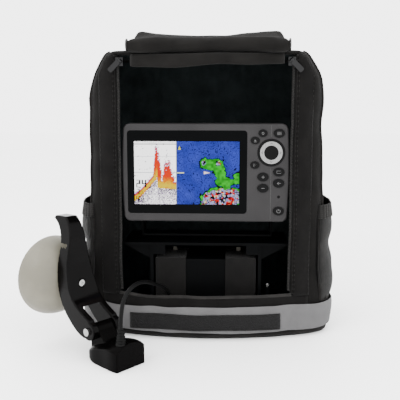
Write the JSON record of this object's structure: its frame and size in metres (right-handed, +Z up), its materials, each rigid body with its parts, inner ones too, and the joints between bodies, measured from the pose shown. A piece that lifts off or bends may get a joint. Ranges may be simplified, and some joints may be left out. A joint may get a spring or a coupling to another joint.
{
  "type": "portable fish finder",
  "caption": "Portable fish finder: soft backpack case with head unit, gimbal and battery, and a transducer on a suction-cup bracket.",
  "frame": {"origin": "centre of the case's base, on the surface it stands on", "axes": "+Z up; the open door faces -Y; +X to the right seen from the front"},
  "size_m": [0.4572, 0.3759, 0.4493],
  "materials": {
    "case_fabric": "woven black pack cloth, padded",
    "grey_fabric": "grey woven reinforcement cloth",
    "hook_tape": "black hook tape",
    "door_fabric": "black woven cloth, rolled up",
    "zip_coil": "black zip tape with coil teeth",
    "zip_metal": "black enamelled zinc, glossy",
    "mesh_fabric": "open black mesh",
    "elastic": "ribbed black elastic",
    "strap_fabric": "padded webbing",
    "tray_plastic": "fine-grained black moulding",
    "battery_case": "black moulded case",
    "terminal_metal": "tinned blades",
    "battery_strap": "brown-black loop webbing",
    "fastener_steel": "bright plated",
    "bracket_plastic": "black glass-filled nylon",
    "knob_plastic": "black moulding",
    "bezel_plastic": "satin grey moulding",
    "cover_glass": "black-bordered cover glass",
    "display": "lit colour display",
    "board": "solder mask",
    "gasket_rubber": "soft seal",
    "key_rubber": "grey-black rubber keys",
    "pad_black": "black ring",
    "pad_silver": "satin silver ring",
    "sensor_lens": "dark lens",
    "socket_plastic": "black socket",
    "cup_rubber": "beige soft vinyl",
    "stand_plastic": "glossy black moulding",
    "transducer_plastic": "satin black moulding",
    "cable_jacket": "black jacket"
  },
  "bodies": {
    "case": {"case_body": "case_fabric", "front_panel_left": "case_fabric", "front_panel_right": "case_fabric", "front_lip": "case_fabric", "base_panel": "case_fabric", "base_band": "grey_fabric", "hook_strip": "hook_tape", "rolled_door": "door_fabric", "zip_left": "zip_coil", "zip_right": "zip_coil", "side_pocket_left": "mesh_fabric", "side_pocket_right": "mesh_fabric", "pocket_elastics": "elastic", "shoulder_strap_left": "strap_fabric", "shoulder_strap_right": "strap_fabric", "grab_handle": "strap_fabric", "tray": "tray_plastic", "hold_down_nut": "fastener_steel", "battery": "battery_case", "battery_terminals": "terminal_metal", "battery_straps": "battery_strap", "gimbal_bracket": "bracket_plastic"},
    "head_unit": {"front_bezel": "bezel_plastic", "pad_trim": "pad_black", "screen_glass": "cover_glass", "lcd_panel": "display", "light_sensor": "sensor_lens", "circuit_board": "board", "case_gasket": "gasket_rubber", "rear_case": "bezel_plastic", "rear_sockets": "socket_plastic", "case_screws": "fastener_steel"},
    "knob_left": {"tilt_knob_left": "knob_plastic"},
    "knob_right": {"tilt_knob_right": "knob_plastic"},
    "pad_pivot": {"pad_spider": "bracket_plastic"},
    "pad": {"pad_ring": "pad_silver", "pad_centre": "pad_black"},
    "slider_left": {"zip_slider_left": "zip_metal"},
    "slider_right": {"zip_slider_right": "zip_metal"},
    "tab_left": {"pull_tab_left": "zip_metal"},
    "tab_right": {"pull_tab_right": "zip_metal"},
    "transducer": {"transducer_body": "transducer_plastic", "transducer_boot": "cable_jacket", "sonar_cable": "cable_jacket", "cable_coil": "cable_jacket", "sonar_plug": "cable_jacket"},
    "stand": {"stand_bracket": "stand_plastic", "cup_screw": "fastener_steel", "suction_cup": "cup_rubber", "pivot_bolt": "fastener_steel", "pivot_nut": "fastener_steel"},
    "key_view": {"key_view": "key_rubber"},
    "key_info": {"key_info": "key_rubber"},
    "key_mark": {"key_mark": "key_rubber"},
    "key_menu": {"key_menu": "key_rubber"},
    "key_zoom_in": {"key_zoom_in": "key_rubber"},
    "key_zoom_out": {"key_zoom_out": "key_rubber"},
    "key_page": {"key_page": "key_rubber"},
    "key_exit": {"key_exit": "key_rubber"},
    "key_power": {"key_power": "key_rubber"}
  },
  "joints": [
    {"name": "head_tilt", "type": "hinge", "parent": "case", "child": "head_unit", "pos_m": [0, -0.03, 0.244], "axis": [1, 0, 0], "range_deg": [-20, 20]},
    {"name": "knob_left_turn", "type": "hinge", "parent": "head_unit", "child": "knob_left", "pos_m": [-0.108, -0.03, 0.244], "axis": [-1, 0, 0], "continuous": true},
    {"name": "knob_right_turn", "type": "hinge", "parent": "head_unit", "child": "knob_right", "pos_m": [0.108, -0.03, 0.244], "axis": [1, 0, 0], "continuous": true},
    {"name": "key_view_press", "type": "slide", "parent": "head_unit", "child": "key_view", "axis": [0, 1, 0], "range_m": [0, 0.0012], "stiffness_N_per_m": 600, "springref_m": -0.0005},
    {"name": "key_info_press", "type": "slide", "parent": "head_unit", "child": "key_info", "axis": [0, 1, 0], "range_m": [0, 0.0012], "stiffness_N_per_m": 600, "springref_m": -0.0005},
    {"name": "key_mark_press", "type": "slide", "parent": "head_unit", "child": "key_mark", "axis": [0, 1, 0], "range_m": [0, 0.0012], "stiffness_N_per_m": 600, "springref_m": -0.0005},
    {"name": "key_menu_press", "type": "slide", "parent": "head_unit", "child": "key_menu", "axis": [0, 1, 0], "range_m": [0, 0.0012], "stiffness_N_per_m": 600, "springref_m": -0.0005},
    {"name": "key_zoom_in_press", "type": "slide", "parent": "head_unit", "child": "key_zoom_in", "axis": [0, 1, 0], "range_m": [0, 0.0012], "stiffness_N_per_m": 600, "springref_m": -0.0005},
    {"name": "key_zoom_out_press", "type": "slide", "parent": "head_unit", "child": "key_zoom_out", "axis": [0, 1, 0], "range_m": [0, 0.0012], "stiffness_N_per_m": 600, "springref_m": -0.0005},
    {"name": "key_page_press", "type": "slide", "parent": "head_unit", "child": "key_page", "axis": [0, 1, 0], "range_m": [0, 0.0012], "stiffness_N_per_m": 600, "springref_m": -0.0005},
    {"name": "key_exit_press", "type": "slide", "parent": "head_unit", "child": "key_exit", "axis": [0, 1, 0], "range_m": [0, 0.0012], "stiffness_N_per_m": 600, "springref_m": -0.0005},
    {"name": "key_power_press", "type": "slide", "parent": "head_unit", "child": "key_power", "axis": [0, 1, 0], "range_m": [0, 0.0012], "stiffness_N_per_m": 600, "springref_m": -0.0005},
    {"name": "pad_rock_up_down", "type": "hinge", "parent": "head_unit", "child": "pad_pivot", "pos_m": [0.0948, -0.071, 0.274], "axis": [1, 0, 0], "range_deg": [-3, 3], "stiffness_Nm_per_rad": 0.6},
    {"name": "pad_rock_left_right", "type": "hinge", "parent": "pad_pivot", "child": "pad", "pos_m": [0.0948, -0.071, 0.274], "axis": [0, 0, 1], "range_deg": [-3, 3], "stiffness_Nm_per_rad": 0.6},
    {"name": "slider_left_run", "type": "slide", "parent": "case", "child": "slider_left", "axis": [0, 0, -1], "range_m": [0, 0.324]},
    {"name": "tab_left_lift", "type": "hinge", "parent": "slider_left", "child": "tab_left", "pos_m": [-0.12035, -0.08876, 0.404], "axis": [-0.7071, 0, 0.7071], "range_deg": [0, 120]},
    {"name": "slider_right_run", "type": "slide", "parent": "case", "child": "slider_right", "axis": [0, 0, -1], "range_m": [0, 0.324]},
    {"name": "tab_right_lift", "type": "hinge", "parent": "slider_right", "child": "tab_right", "pos_m": [0.12035, -0.08876, 0.404], "axis": [-0.7071, 0, -0.7071], "range_deg": [0, 120]},
    {"name": "stand_lift", "type": "slide", "parent": "case", "child": "transducer", "axis": [0, 0, 1], "range_m": [0, 0.04]},
    {"name": "stand_pivot", "type": "hinge", "parent": "transducer", "child": "stand", "pos_m": [-0.13685, -0.17222, 0.0425], "axis": [-0.6342, -0.7732, 0], "range_deg": [-8, 25]}
  ]
}
